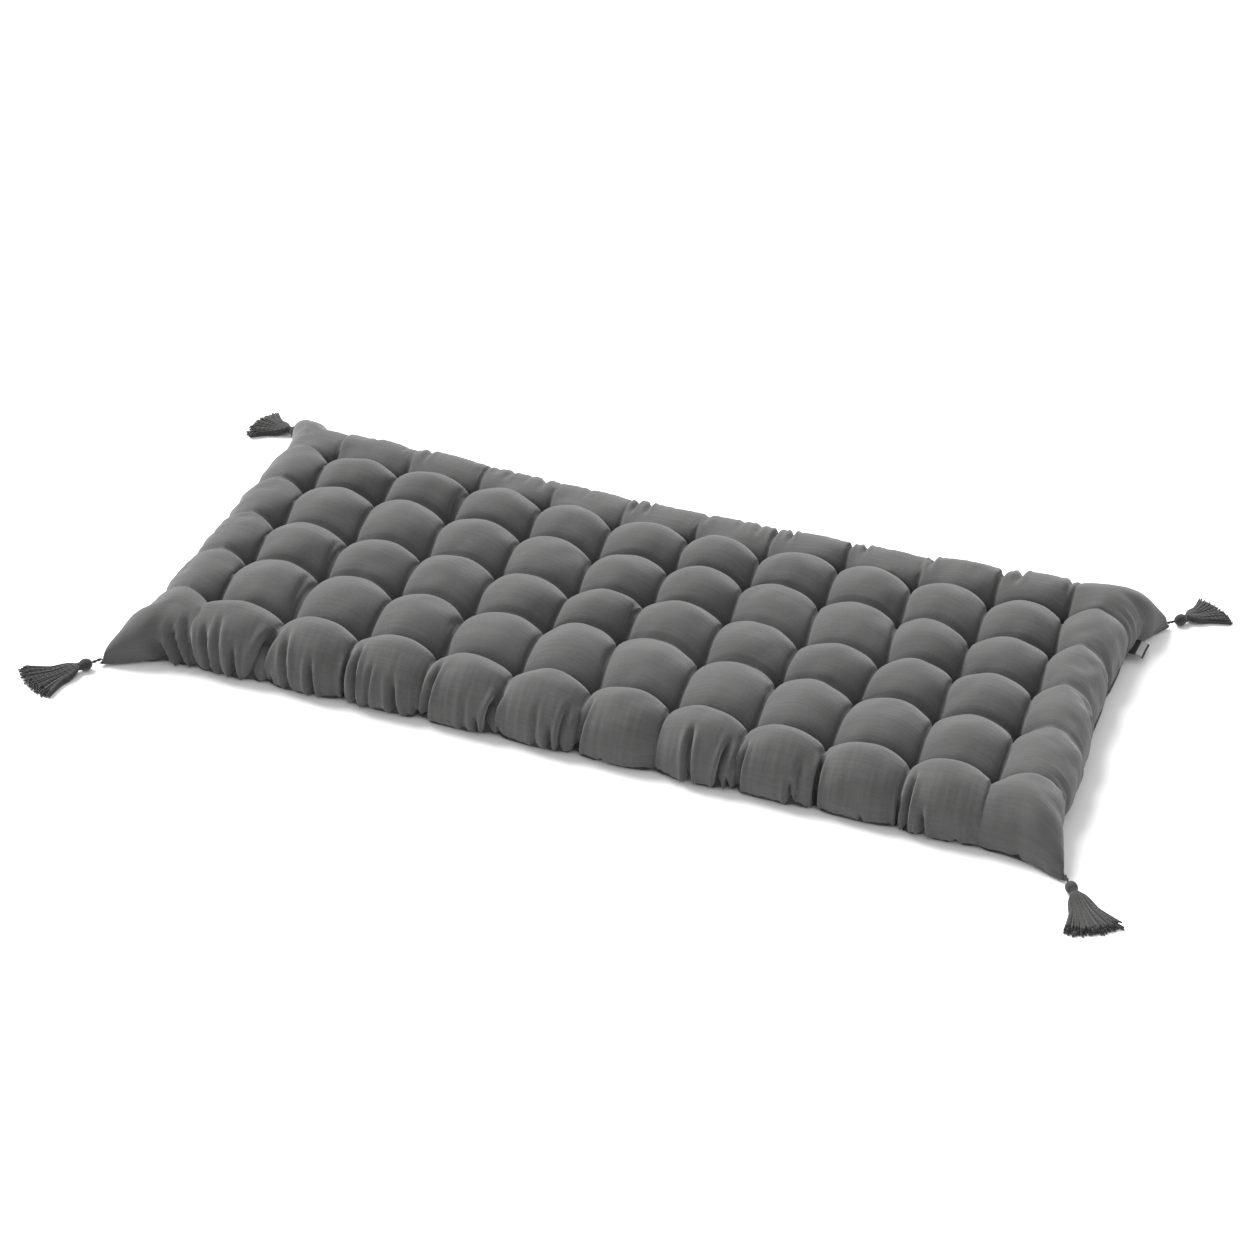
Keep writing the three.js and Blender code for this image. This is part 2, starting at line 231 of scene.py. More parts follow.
def off_grid(u, v):
    """How far the tufting moves each point: straight from one tuft to the next, and less
    and less from the last tufts out to the seam."""
    shifts = np.zeros((COLUMNS + 1, ROWS + 1, 2))
    for row, shift in ROW_SHIFT.items():
        shifts[1:-1, row + ROWS // 2, 1] = shift
    for (column, row), shift in OFF_GRID.items():
        shifts[column + COLUMNS // 2, row + ROWS // 2] += shift
    line_u = np.where(u["side"] == 0, u["at"], u["side"] * (COLUMNS / 2 - 1 + u["out"])) + COLUMNS / 2
    line_v = np.where(v["side"] == 0, v["at"], v["side"] * (ROWS / 2 - 1 + v["out"])) + ROWS / 2
    i = np.minimum(line_u.astype(int), COLUMNS - 1)
    j = np.minimum(line_v.astype(int), ROWS - 1)
    a, b = (line_u - i)[..., None], (line_v - j)[..., None]
    low = lerp(shifts[i, j], shifts[i + 1, j], a)
    return lerp(low, lerp(shifts[i, j + 1], shifts[i + 1, j + 1], a), b)


def cover_form(us, vs, crown):
    """The top cloth as an array of points: rows across, columns along."""
    u, v = np.broadcast_arrays(us[None, :], vs[:, None])
    tip = np.zeros(u.shape + (2,))
    for (side, end), place in TIPS.items():
        tip[(u["side"] == side) & (v["side"] == end)] = place
    bulge = FULL_EAR["bulge"] * np.sin(math.pi * ear_share(v) ** 2) * (v["side"] > 0)
    right_sag = RIGHT_SAG["drawn_in"] * sag_share(v, ROWS, RIGHT_SAG) * (1 - ear_share(v))
    left_right = np.where(u["side"] < 0, SIDES["left"] + bulge, SIDES["right"] - right_sag)
    fullness = np.where((u["side"] < 0) & (v["side"] < 0), WIDE_EAR["fullness"], EAR["fullness"])
    notch_x = np.where(u["side"] < 0, NOTCH["left"], NOTCH["right"])
    near_notch = NOTCH["near"] * (1 - END_SHALLOW["near"] * end_share(u, COLUMNS))
    notch_y = np.where(v["side"] < 0, near_notch, NOTCH["far"])
    sag = (v["side"] > 0) * FAR_SAG["drawn_in"] * sag_share(u, COLUMNS, FAR_SAG) * (1 - ear_share(u))
    near_far = np.where(v["side"] < 0, SIDES["near"], SIDES["far"]) - sag
    x = place_of(u, v, COLUMNS, left_right, notch_x, tip[..., 0], fullness)
    y = place_of(v, u, ROWS, near_far, notch_y, tip[..., 1], fullness)
    shift = off_grid(u, v)
    return np.stack([x + shift[..., 0], y + shift[..., 1], height_of(u, v, crown)], -1)


def mesh_object(name, points, face_sets, smooth=True):
    """A mesh object from points and lists of faces, each list with its own corner count."""
    mesh = bpy.data.meshes.new(name)
    points = np.asarray(points, np.float32).reshape(-1, 3)
    face_sets = [np.asarray(faces, np.int32) for faces in face_sets]
    corners = np.concatenate([faces.ravel() for faces in face_sets])
    sizes = np.concatenate([np.full(len(faces), faces.shape[1]) for faces in face_sets])
    starts = np.concatenate([[0], np.cumsum(sizes)[:-1]])
    mesh.vertices.add(len(points))
    mesh.vertices.foreach_set("co", points.ravel())
    mesh.loops.add(len(corners))
    mesh.loops.foreach_set("vertex_index", corners)
    mesh.polygons.add(len(starts))
    mesh.polygons.foreach_set("loop_start", starts.astype(np.int32))
    mesh.update(calc_edges=True)
    mesh.polygons.foreach_set("use_smooth", np.full(len(starts), smooth))
    piece = bpy.data.objects.new(name, mesh)
    scene.collection.objects.link(piece)
    return piece


def grid_faces(index):
    """Quads over a grid of vertex numbers, facing up."""
    corners = [index[:-1, :-1], index[:-1, 1:], index[1:, 1:], index[1:, :-1]]
    return np.stack(corners, -1).reshape(-1, 4)


# Cloth simulation
FRAMES = 20
CLOTH = {
    "quality": 5, "mass": 0.2, "air_damping": 5,
    "tension_stiffness": 30, "compression_stiffness": 30, "shear_stiffness": 10,
    "bending_stiffness": 0.1, "bending_damping": 0.5,
    "tension_damping": 5, "compression_damping": 5, "shear_damping": 5,
    "uniform_pressure_force": 4, "pin_stiffness": 1,
    "shrink_min": -0.005, "shrink_max": -0.08,  # below zero is spare cloth, most at the edge
}
RUFFLE = {"height": 0.00015, "longest": 0.07, "shortest": 0.025, "waves": 40}  # height of one wave
TOUCHING = 1e-6  # a lift below this is in a crease
FARTHEST = 0.0018  # how far the filling may move the cloth


def weigh(piece, name, weights):
    """A vertex group with each vertex's weight, in tenths."""
    group = piece.vertex_groups.new(name=name)
    tenths = np.round(weights.ravel() * 10).astype(int)
    for tenth in np.unique(tenths[tenths > 0]):
        chosen = np.flatnonzero(tenths == tenth).tolist()
        group.add(chosen, float(tenth) / 10, "REPLACE")


def ruffle(points):
    """Soft uneven waves over the cloth before it swells."""
    rng = np.random.default_rng(3)
    height = np.zeros(points.shape[:2])
    for _ in range(RUFFLE["waves"]):
        length = rng.uniform(RUFFLE["shortest"], RUFFLE["longest"])
        heading, phase = rng.uniform(0, 2 * math.pi, 2)
        along = points[..., 0] * math.cos(heading) + points[..., 1] * math.sin(heading)
        height += np.sin(2 * math.pi * along / length + phase)
    return points + normals_of(points) * (height * RUFFLE["height"])[..., None]


def add_cloth(piece):
    """The simulation: pressure under a cloth that is held at its tufts and its seam."""
    modifier = piece.modifiers.new("cloth", "CLOTH")
    settings = modifier.settings
    for key, value in CLOTH.items():
        setattr(settings, key, value)
    settings.use_pressure = True
    settings.vertex_group_mass = "held"
    settings.vertex_group_shrink = "spare"
    settings.effector_weights.gravity = 0
    modifier.collision_settings.use_collision = False
    modifier.collision_settings.use_self_collision = False
    modifier.point_cache.frame_start = 1
    modifier.point_cache.frame_end = FRAMES + 1


def swell(points, us, vs):
    """The filling swells the top cloth between its tufts and the seam."""
    index = np.arange(points[..., 0].size).reshape(points.shape[:2])
    cloth = mesh_object("swelling", ruffle(points), [grid_faces(index)])
    line_u = (us["lift"] < TOUCHING) & ~us["falling"]
    line_v = (vs["lift"] < TOUCHING) & ~vs["falling"]
    held = (line_u[None, :] & line_v[:, None]).astype(float)
    held[[0, -1], :] = 1
    held[:, [0, -1]] = 1
    spare = np.maximum(us["out"][None, :], vs["out"][:, None])
    weigh(cloth, "held", held)
    weigh(cloth, "spare", spare)
    add_cloth(cloth)
    for number in range(1, FRAMES + 2):
        scene.frame_set(number)
    swollen = cloth.evaluated_get(bpy.context.evaluated_depsgraph_get()).to_mesh()
    places = np.zeros(len(swollen.vertices) * 3, np.float32)
    swollen.vertices.foreach_get("co", places)
    bpy.data.objects.remove(cloth)
    scene.frame_set(1)
    move = places.reshape(points.shape).astype(float) - points
    far = np.maximum(np.linalg.norm(move, axis=-1, keepdims=True), 1e-9)
    return points + move * (FARTHEST * np.tanh(far / FARTHEST) / far)


def finer(points, times):
    """A smooth curve through the points of each column, with more points on it."""
    count = len(points)
    before = 2 * points[:1] - points[1:2]
    after = 2 * points[-1:] - points[-2:-1]
    padded = np.concatenate([before, points, after])
    place = np.arange((count - 1) * times + 1) / times
    index = np.minimum(place.astype(int), count - 2)
    t = (place - index).reshape(-1, *([1] * (points.ndim - 1)))
    a, b, c, d = (padded[index + k] for k in range(4))
    cubic = (3 * b - a - 3 * c + d) * t**3
    return 0.5 * (2 * b + (c - a) * t + (2 * a - 5 * b + 4 * c - d) * t**2 + cubic)


# The gathers of the near side: where each starts at the seam, in pitches, how far it
# leans on its way up to the crest, how far up it reaches, and its depth and width in
# millimetres.
NEAR_GATHERS = [
    # at, lean, reach, depth, width
    (-5.3, -0.35, 0.45, 8, 9),
    (-5.08, -0.3, 0.7, 6, 6),
    (-4.91, -0.25, 0.9, 3, 6),
    (-4.7, -0.2, 0.75, 4, 5),
    (-4.57, -0.12, 0.9, 3, 5),
    (-4.4, -0.05, 0.55, 7, 5),
    (-4.2, 0.25, 1, 6, 8),
    (-3.94, 0, 0.3, 3, 4),
    (-3.69, -0.12, 0.9, 4, 5),
    (-3.36, -0.08, 0.6, 7, 5),
    (-2.98, 0, 0.85, 8, 4),
    (-2.81, -0.05, 0.95, 7, 4),
    (-2.66, 0.05, 0.7, 3, 4),
    (-2.29, -0.1, 0.6, 7, 6),
    (-2.03, 0, 0.25, 5, 4),
    (-1.93, 0.1, 1, 6, 5),
    (-1.41, 0, 0.6, 2.5, 5),
    (-1.23, -0.05, 0.4, 6, 4),
    (-1.13, 0.15, 0.8, 9, 6),
    (-0.5, 0, 0.65, 2.5, 5),
    (-0.31, 0, 0.5, 7, 5),
    (-0.2, 0.1, 0.8, 5, 5),
    (0, 0.1, 1, 5, 5),
    (0.35, 0, 0.2, 4, 4),
    (1.18, 0, 0.15, 3, 4),
    (1.45, -0.05, 0.85, 7, 5),
    (1.8, 0.1, 0.85, 8, 5),
    (1.91, 0, 0.35, 6, 3),
    (2.04, 0.04, 0.9, 6, 4),
    (2.71, -0.05, 0.5, 7, 5),
    (2.79, 0, 0.8, 3, 7),
    (3, 0, 1, 7, 4),
    (3.58, 0, 0.25, 4, 3),
    (4.02, 0, 0.6, 7, 4),
    (4.12, 0, 0.95, 7, 4),
    (4.34, -0.1, 0.5, 7, 5),
    (4.74, 0, 0.2, 6, 4),
    (5.5, 0, 0.2, 5, 4),
]
# And those of the far side, which also show as small folds along the top of its outline
FAR_GATHERS = [
    (-4.6, 0, 0.9, 2.5, 5),
    (-3.82, 0, 1.2, 2.5, 5),
    (-2.87, 0, 1.15, 1, 5),
    (-2.59, -0.1, 1.2, 2, 5),
    (-2.38, -0.05, 1.2, 1, 5),
    (-2.24, 0.05, 1.2, 2.5, 6),
    (-1.58, 0, 1.15, 1, 5),
    (-0.91, 0, 1.2, 3.5, 4),
    (-0.78, 0.05, 1.2, 3.5, 4),
    (0.06, 0, 1.2, 2, 6),
    (0.53, 0, 1.15, 1, 5),
    (0.77, 0, 1.2, 2, 5),
    (1, 0, 1.2, 3, 4),
    (1.17, 0.05, 1.2, 4, 4),
    (2, 0, 1.2, 2.5, 4),
    (2.15, 0.05, 1.2, 3.5, 4),
    (3.04, 0.05, 1.2, 3.5, 5),
    (4.01, 0, 1.2, 3, 5),
    (4.28, -0.05, 1.2, 5, 6),
    (4.9, 0, 1.2, 2.5, 5),
]
# Single folds in the tops: where the middle lies, in pitches, its heading in degrees,
# half its length in pitches, and its depth and width in millimetres.
TOP_FOLDS = [
    # x, y, heading, half, depth, width
    (-0.08, -0.4, -84, 0.42, 4.5, 6),
    (-2.04, -1.38, -95, 0.25, 3.5, 6),
    (-4.08, -1.47, -85, 0.39, 4.5, 6),
    (-3.08, 1.48, -89, 0.35, 4.5, 6),
    (-4.06, -0.48, -85, 0.33, 3.5, 6),
    (1.6, 0.55, 0, 0.11, 1.2, 4),
    (3.57, 0.75, -8, 0.17, 1.5, 4),
    (1.71, -1.16, 8, 0.11, 1.2, 4),
    (5.62, 1.1, -19, 0.21, 2.5, 4),
    (5.6, -0.1, -17, 0.17, 2.5, 4),
    (5.8, -0.31, -53, 0.2, 2.5, 4),
    (5.51, -1.37, -35, 0.11, 2, 4),
]
# How deep each side's gathers are, as times those depths, and over what length, in
# pitches, they fade out to a corner
GATHERED = {
    "near": {"deep": 2.1, "fade": 0.8}, "far": {"deep": 1.7, "fade": 0.8},
    "left": {"deep": 2.1, "fade": 1.2}, "right": {"deep": 1.2, "fade": 1.6},
}
PAST_CORNER = 0.1  # how far past the corner they end, in pitches
# The gathers of the two short sides: where they start in each pillow, how far that and
# their lean vary, how far up they reach, the deepest on each side in millimetres, the
# least of that as a share, and their widths.
SHORT_SIDES = {
    "starts": (0.05, 0.4, 0.75), "uneven": 0.12, "reach": (0.25, 0.9),
    "left": 6, "right": 4, "least": 0.4, "wide": (4, 6),
}
# A fold's section, and how it fades towards the ends
FOLD = {"narrower": 0.62, "sharpness": 1.25, "fade": 0.3, "end": 1.3}
AT_SEAM = {"share": 0.85, "up": 0.25}  # the gathers are shallower where the belly turns in
RIDGE = {"share": 0.3, "away": 2.2}  # the cloth swells a little on both sides of a fold
CREASE = {"depth": 0.0035, "half": 0.003, "tuft": 0.005}
# Faint upright crinkles between the gathers, the sum of four waves
RIPPLE = {"depth": 0.0008, "length": 0.013, "octaves": (0.7, 1.0, 1.35, 1.9), "reach": 1.2}


def some_gathers(count, seed, deepest):
    """Gathers for a side that the picture shows less of, three for each pillow."""
    rng = np.random.default_rng(seed)
    uneven = SHORT_SIDES["uneven"]
    rows = []
    for cell in range(-count // 2, count // 2):
        for share in SHORT_SIDES["starts"]:
            at = cell + share + rng.uniform(-uneven, uneven)
            reach = rng.uniform(*SHORT_SIDES["reach"])
            depth = rng.uniform(SHORT_SIDES["least"], 1) * deepest
            lean = rng.uniform(-uneven, uneven)
            rows.append((at, lean, reach, depth, rng.uniform(*SHORT_SIDES["wide"])))
    return rows


def normals_of(points):
    along, across = np.gradient(points, axis=1), np.gradient(points, axis=0)
    normal = np.cross(along, across)
    return normal / np.maximum(np.linalg.norm(normal, axis=-1, keepdims=True), 1e-12)


def ripple(along, seed):
    """An uneven wave along a side."""
    rng = np.random.default_rng(seed)
    wave = np.zeros_like(along)
    for octave in RIPPLE["octaves"]:
        phase = rng.uniform(0, 2 * math.pi)
        wave += np.sin(2 * math.pi * along * PITCH / RIPPLE["length"] * octave + phase)
    return wave / len(RIPPLE["octaves"])


def smooth(share):
    """A soft step from 0 to 1."""
    share = np.clip(share, 0, 1)
    return share * share * (3 - 2 * share)


def press(side, normal, axis, gathers, gathered, seed):
    """Presses the gathers into a side, whose first row is the seam, against its normals."""
    steps = (TUCK_STEPS + FALL_STEPS + RISE_STEPS) * FINER
    band = side[: steps + 1]
    walked = np.linalg.norm(np.diff(band, axis=0), axis=-1).cumsum(0)
    walked = np.concatenate([np.zeros((1, band.shape[1])), walked])
    crest = walked[(TUCK_STEPS + FALL_STEPS) * FINER]
    up = walked / crest
    along = band[..., axis] / PITCH
    depth = RIPPLE["depth"] * ripple(along, seed) * np.clip(RIPPLE["reach"] - up, 0, 1)
    for at, lean, reach, deep, wide in gathers:
        t = np.abs(along - at - lean * up) * PITCH / (wide * MM * FOLD["narrower"])
        fade = smooth((reach - up) / FOLD["fade"])
        ridges = RIDGE["share"] * np.exp(-((t - RIDGE["away"]) ** 2))
        depth = depth + gathered["deep"] * deep * MM * fade * (np.exp(-(t ** FOLD["sharpness"])) - ridges)
    half = (COLUMNS, ROWS)[axis] / 2
    depth *= np.clip((half + PAST_CORNER - np.abs(along)) / gathered["fade"], 0, 1)
    depth *= lerp(AT_SEAM["share"], 1, smooth(up / AT_SEAM["up"]))
    side[: steps + 1] -= normal[: steps + 1] * depth[..., None]


def crease(points, us, vs):
    """Draws the cloth down into sharp creases along the tuft lines and into the tufts."""
    normal = normals_of(points)
    lines, ends = [], []
    for row in (us, vs):
        away = np.where(row["side"] == 0, np.abs(row["at"] - np.round(row["at"])), row["out"])
        away = finer(np.minimum(away, 0.5) * PITCH, FINER)
        lines.append(np.exp(-np.abs(away) / CREASE["half"]))
        ends.append(np.clip(1 - finer(row["out"], FINER), 0, 1))
    line_u, line_v = lines[0][None, :] * ends[1][:, None], lines[1][:, None] * ends[0][None, :]
    both = line_u * line_v
    depth = CREASE["depth"] * (line_u + line_v - both) + CREASE["tuft"] * both
    points -= normal * depth[..., None]


def fold_tops(points):
    """Presses single folds into the tops."""
    normal = normals_of(points)
    depth = np.zeros(points.shape[:2])
    for x, y, heading, half, deep, wide in TOP_FOLDS:
        away_x, away_y = points[..., 0] / PITCH - x, points[..., 1] / PITCH - y
        ahead, side = math.cos(math.radians(heading)), math.sin(math.radians(heading))
        along = np.abs(away_x * ahead + away_y * side) / half
        across = np.abs(away_y * ahead - away_x * side) * PITCH / (wide * MM * FOLD["narrower"])
        depth += deep * MM * smooth(FOLD["end"] - along) * np.exp(-(across ** FOLD["sharpness"]))
    points -= normal * depth[..., None]


def gather(points):
    """Presses the gathers into the four sides."""
    normal = normals_of(points)
    across = points.transpose(1, 0, 2), normal.transpose(1, 0, 2)
    press(points, normal, 0, NEAR_GATHERS, GATHERED["near"], 1)
    press(points[::-1], normal[::-1], 0, FAR_GATHERS, GATHERED["far"], 2)
    left = some_gathers(ROWS, 6, SHORT_SIDES["left"])
    right = some_gathers(ROWS, 7, SHORT_SIDES["right"])
    press(across[0], across[1], 1, left, GATHERED["left"], 3)
    press(across[0][::-1], across[1][::-1], 1, right, GATHERED["right"], 4)


def under_side(points, us, vs):
    """The bottom cloth: flat pads between shallow grooves, joined to the seam. It has
    every fourth of the top cloth's seam points, and meets them exactly."""
    ring = points[::COARSER, ::COARSER]
    us, vs = us[:: COARSER // FINER], vs[:: COARSER // FINER]
    flat_x, x_edge = flat_place(us, COLUMNS, SIDES["left"], SIDES["right"])
    flat_y, y_edge = flat_place(vs, ROWS, SIDES["near"], SIDES["far"])
    x, y = np.meshgrid(flat_x, flat_y)
    base = np.stack([x, y, np.zeros(x.shape)], -1)
    low_x, high_x = [w[None, :, None] for w in x_edge]
    low_y, high_y = [w[:, None, None] for w in y_edge]
    shift = ring - base
    corners = (
        low_y * (low_x * shift[0, 0] + high_x * shift[0, -1])
        + high_y * (low_x * shift[-1, 0] + high_x * shift[-1, -1])
    )
    blended = low_y * shift[:1] + high_y * shift[-1:] + low_x * shift[:, :1] + high_x * shift[:, -1:]
    bottom = base + blended - corners
    groove_x, groove_y = groove(flat_x, COLUMNS)[None, :], groove(flat_y, ROWS)[:, None]
    both = groove_x * groove_y
    rise = UNDER_CREASE * (groove_x + groove_y - both) + (UNDER_TUFT - UNDER_CREASE) * both
    rim = np.maximum(np.maximum(*x_edge)[None, :], np.maximum(*y_edge)[:, None])
    bottom[..., 2] += rise * (1 - rim)
    bottom[..., 2] = np.maximum(bottom[..., 2], 0)
    return bottom


def flat_place(row, count, low, high):
    """Where a station lies on the flat underside, and its share of the way from the pads
    to the low and the high side."""
    line = (count / 2 - 1) * PITCH
    side = np.where(row["side"] < 0, low, high)
    walked = row["out"] + np.where(row["falling"], UNDER_TUCK * row["seam"], 0)
    walked = walked / (1 + UNDER_TUCK)
    place = np.where(row["side"] == 0, row["at"] * PITCH, row["side"] * (line + (side - line) * walked))
    start = 1 - PAD_INSET / (side - line)
    share = np.clip((walked - start) / (1 - start), 0, 1)
    share = 1 - np.sqrt(np.clip(1 - share**2, 0, 1))
    return place, (share * (row["side"] < 0), share * (row["side"] > 0))


def groove(places, count):
    """1 on a tuft line and 0 from a groove's half width on."""
    last = count // 2 - 1
    nearest = np.clip(np.round(places / PITCH), -last, last) * PITCH
    away = np.clip(np.abs(places - nearest) / GROOVE, 0, 1)
    return (1 + np.cos(math.pi * away)) / 2


def cloth_places(points):
    """Where each point lies on the flat cloth before it was tufted."""
    along = np.linalg.norm(np.diff(points, axis=1), axis=-1).mean(0).cumsum()
    across = np.linalg.norm(np.diff(points, axis=0), axis=-1).mean(1).cumsum()
    u, v = np.meshgrid(np.concatenate([[0], along]), np.concatenate([[0], across]))
    return np.stack([u, v, np.zeros(u.shape)], -1)


def store(piece, name, values):
    """Keeps a vector for each vertex, for the materials to read."""
    attribute = piece.data.attributes.new(name, "FLOAT_VECTOR", "POINT")
    attribute.data.foreach_set("vector", np.asarray(values, np.float32).ravel())


def sewn_faces(top, under):
    """Faces of the top and the bottom cloth, and the slivers at the seam, where the top
    has more points than the bottom."""
    top_index = np.arange(top[0] * top[1]).reshape(top)
    under_index = top_index.size + np.arange(under[0] * under[1]).reshape(under)
    for edge in (np.s_[0, :], np.s_[-1, :], np.s_[:, 0], np.s_[:, -1]):
        under_index[edge] = top_index[::COARSER, ::COARSER][edge]
    slivers = []
    for line in (top_index[0], top_index[:, -1], top_index[-1, ::-1], top_index[::-1, 0]):
        strips = [line[k : len(line) - COARSER + k : COARSER] for k in range(COARSER)]
        slivers.append(np.stack([*strips, line[COARSER::COARSER]], -1)[:, ::-1])
    return [grid_faces(top_index), grid_faces(under_index)[:, ::-1], np.concatenate(slivers)]


def make_cover():
    us, vs = stations(COLUMNS, ALONG_STEPS), stations(ROWS, ACROSS_STEPS)
    points = swell(cover_form(us, vs, START_CROWN), us, vs)
    points = finer(points, FINER)
    points = finer(points.transpose(1, 0, 2), FINER).transpose(1, 0, 2).copy()
    crease(points, us, vs)
    fold_tops(points)
    gather(points)
    points[..., 2] = np.maximum(points[..., 2], LOWEST)
    bottom = under_side(points, us, vs)
    faces = sewn_faces(points[..., 0].shape, bottom[..., 0].shape)
    used = np.zeros(points[..., 0].size + bottom[..., 0].size, int)
    for face_set in faces:
        used[face_set.ravel()] = 1
    number = np.cumsum(used) - 1
    all_points = np.concatenate([points.reshape(-1, 3), bottom.reshape(-1, 3)])
    places = np.concatenate([cloth_places(points).reshape(-1, 3), bottom.reshape(-1, 3)])
    cover = mesh_object("cotton_cover", all_points[used > 0], [number[f] for f in faces])
    store(cover, "cloth", places[used > 0])
    return cover


# Tassels, each with its tie's tip at the corner and its head pointing away from it
TIE = {
    "radius": 0.0019, "start": -0.004, "height": 0.009, "into_head": 0.003, "turns": 1.5,
    "apart": 0.48, "ply": 0.55,  # how far its plies lie from its middle, and how thick they are
    "steps": 22, "sides": 8,
}
HEAD = {
    "from": 0.01, "length": 0.016, "radius": 0.0075,
    "yarns": 22, "yarn": 0.0011, "twist": 0.35, "thinnest": 0.35,
    "first": 0.12, "last": 0.42, "steps": 14, "sides": 6,  # the angles its yarns start and end at
    "core_first": 0.2, "core_thinnest": 0.3, "core_steps": 9, "core_sides": 14,
}
NECK = {
    "length": 0.004, "radius": 0.0045, "overlap": 0.0015,
    "thread": 0.00055, "turns": 6, "spacing": 1.9, "proud": 0.0001, "steps": 20, "sides": 6,
    "into_head": 0.001, "core": 0.009, "core_sides": 12,
}
SKIRT = {
    "layers": 4, "strands": 32, "uneven": 0.005, "bend": 0.0005, "steps": 26, "sides": 8,
    "overlap": 0.001, "crowding": 0.45, "longest": 0.4, "shorter": 0.002,  # each layer than the last
    "straight": 0.75, "root_half": 0.0035, "swell": 0.004, "settled": 0.55,
    "root_layer": 0.0022, "middle_layer": 1.2, "flatter": 0.5, "floor_layer": 0.0021, "loose": 0.75,
    "clear": 1.25, "hump": 0.0012, "thick": (0.88, 1.08), "root_taper": 0.75, "root_share": 0.04,
}
YARN = {"radius": 0.00105, "lobe": 0.13, "turn": 0.006}
GOLDEN = 0.618  # spreads the yarns' shades evenly
TASSELS = [
    {"name": "front_left", "tip": (-1, -1), "heading": -128, "skirt": 0.068, "spread": 30},
    {"name": "front_right", "tip": (1, -1), "heading": -58, "skirt": 0.074, "spread": 27},
    {"name": "back_left", "tip": (-1, 1), "heading": 172, "skirt": 0.054, "spread": 42},
    {"name": "back_right", "tip": (1, 1), "heading": 51, "skirt": 0.058, "spread": 31},
]


def tube(path, radius, sides, lobe=0.0, turn=1.0, taper=None):
    """A closed tube along a path. With a lobe its section is two plies, which wind round
    each other once for each length turn."""
    path = np.asarray(path, float)
    along = np.gradient(path, axis=0)
    along /= np.linalg.norm(along, axis=1, keepdims=True)
    level = np.cross([0, 0, 1], along)
    level /= np.maximum(np.linalg.norm(level, axis=1, keepdims=True), 1e-9)
    up = np.cross(along, level)
    walked = np.concatenate([[0], np.linalg.norm(np.diff(path, axis=0), axis=1).cumsum()])
    angle = np.arange(sides) / sides * 2 * math.pi
    wound = angle[None, :] - (walked / turn * math.pi)[:, None]
    size = radius * (1 + lobe * np.cos(2 * wound))
    if taper is not None:
        size = size * np.asarray(taper)[:, None]
    ring = np.cos(angle)[None, :, None] * level[:, None] + np.sin(angle)[None, :, None] * up[:, None]
    points = path[:, None] + size[..., None] * ring
    count = len(path)
    index = np.arange(count * sides).reshape(count, sides)
    nxt = np.roll(index, -1, axis=1)
    quads = np.stack([index[:-1], nxt[:-1], nxt[1:], index[1:]], -1).reshape(-1, 4)
    return points.reshape(-1, 3), quads, index


class Parts:
    """Points and faces of many small bodies that make one mesh."""

    def __init__(self):
        self.points, self.quads, self.triangles, self.along = [], [], [], []
        self.count = 0

    def add_tube(self, path, radius, sides, **how):
        points, quads, index = tube(path, radius, sides, **how)
        ends = np.array([path[0], path[-1]])
        low, high = self.count + len(points), self.count + len(points) + 1
        first, last = index[0] + self.count, index[-1] + self.count
        self.quads.append(quads + self.count)
        self.triangles.append(np.stack([np.roll(first, -1), first, np.full(len(first), low)], -1))
        self.triangles.append(np.stack([last, np.roll(last, -1), np.full(len(last), high)], -1))
        self.points += [points, ends]
        walked = np.linspace(0, 1, len(path)).repeat(sides)
        shade = np.full(len(walked) + 2, (self.count * GOLDEN) % 1)
        ends_walked = np.concatenate([walked, [0, 1]])
        self.along.append(np.stack([ends_walked, shade, np.zeros_like(shade)], -1))
        self.count += len(points) + 2

    def piece(self, name, place):
        points = np.concatenate(self.points)
        moved = points @ np.array(place.to_3x3()).T + np.array(place.translation)
        made = mesh_object(name, moved, [np.concatenate(self.quads), np.concatenate(self.triangles)])
        store(made, "yarn", np.concatenate(self.along))
        return made


def add_tie(parts):
    """Two plies from inside the corner to the head."""
    share = np.linspace(0, 1, TIE["steps"])
    x = lerp(TIE["start"], HEAD["from"] + TIE["into_head"], share)
    z = lerp(TIE["height"], HEAD["radius"], share)
    off = TIE["radius"] * TIE["apart"]
    for ply in (0, math.pi):
        angle = ply + share * TIE["turns"] * 2 * math.pi
        path = np.stack([x, off * np.cos(angle), z + off * np.sin(angle)], -1)
        parts.add_tube(path, TIE["radius"] * TIE["ply"], TIE["sides"])


def add_head(parts):
    """Yarns laid over a ball from the tie to the neck, and the ball under them."""
    middle, half = HEAD["from"] + HEAD["length"] / 2, HEAD["length"] / 2
    angle = np.linspace(HEAD["first"], math.pi - HEAD["last"], HEAD["steps"])
    away = (HEAD["radius"] - HEAD["yarn"]) * np.sin(angle)
    taper = np.clip(HEAD["thinnest"] + np.sin(angle), 0, 1)
    for k in range(HEAD["yarns"]):
        turn = k / HEAD["yarns"] * 2 * math.pi + HEAD["twist"] * np.linspace(0, 1, len(angle))
        y, z = away * np.cos(turn), HEAD["radius"] + away * np.sin(turn)
        path = np.stack([middle - half * np.cos(angle), y, z], -1)
        parts.add_tube(path, HEAD["yarn"], HEAD["sides"], taper=taper)
    core = np.linspace(HEAD["core_first"], math.pi - HEAD["core_first"], HEAD["core_steps"])
    path = np.stack([middle - half * np.cos(core), 0 * core, 0 * core + HEAD["radius"]], -1)
    taper = np.maximum(np.sin(core), HEAD["core_thinnest"])
    parts.add_tube(path, HEAD["radius"] - 2 * HEAD["yarn"], HEAD["core_sides"], taper=taper)


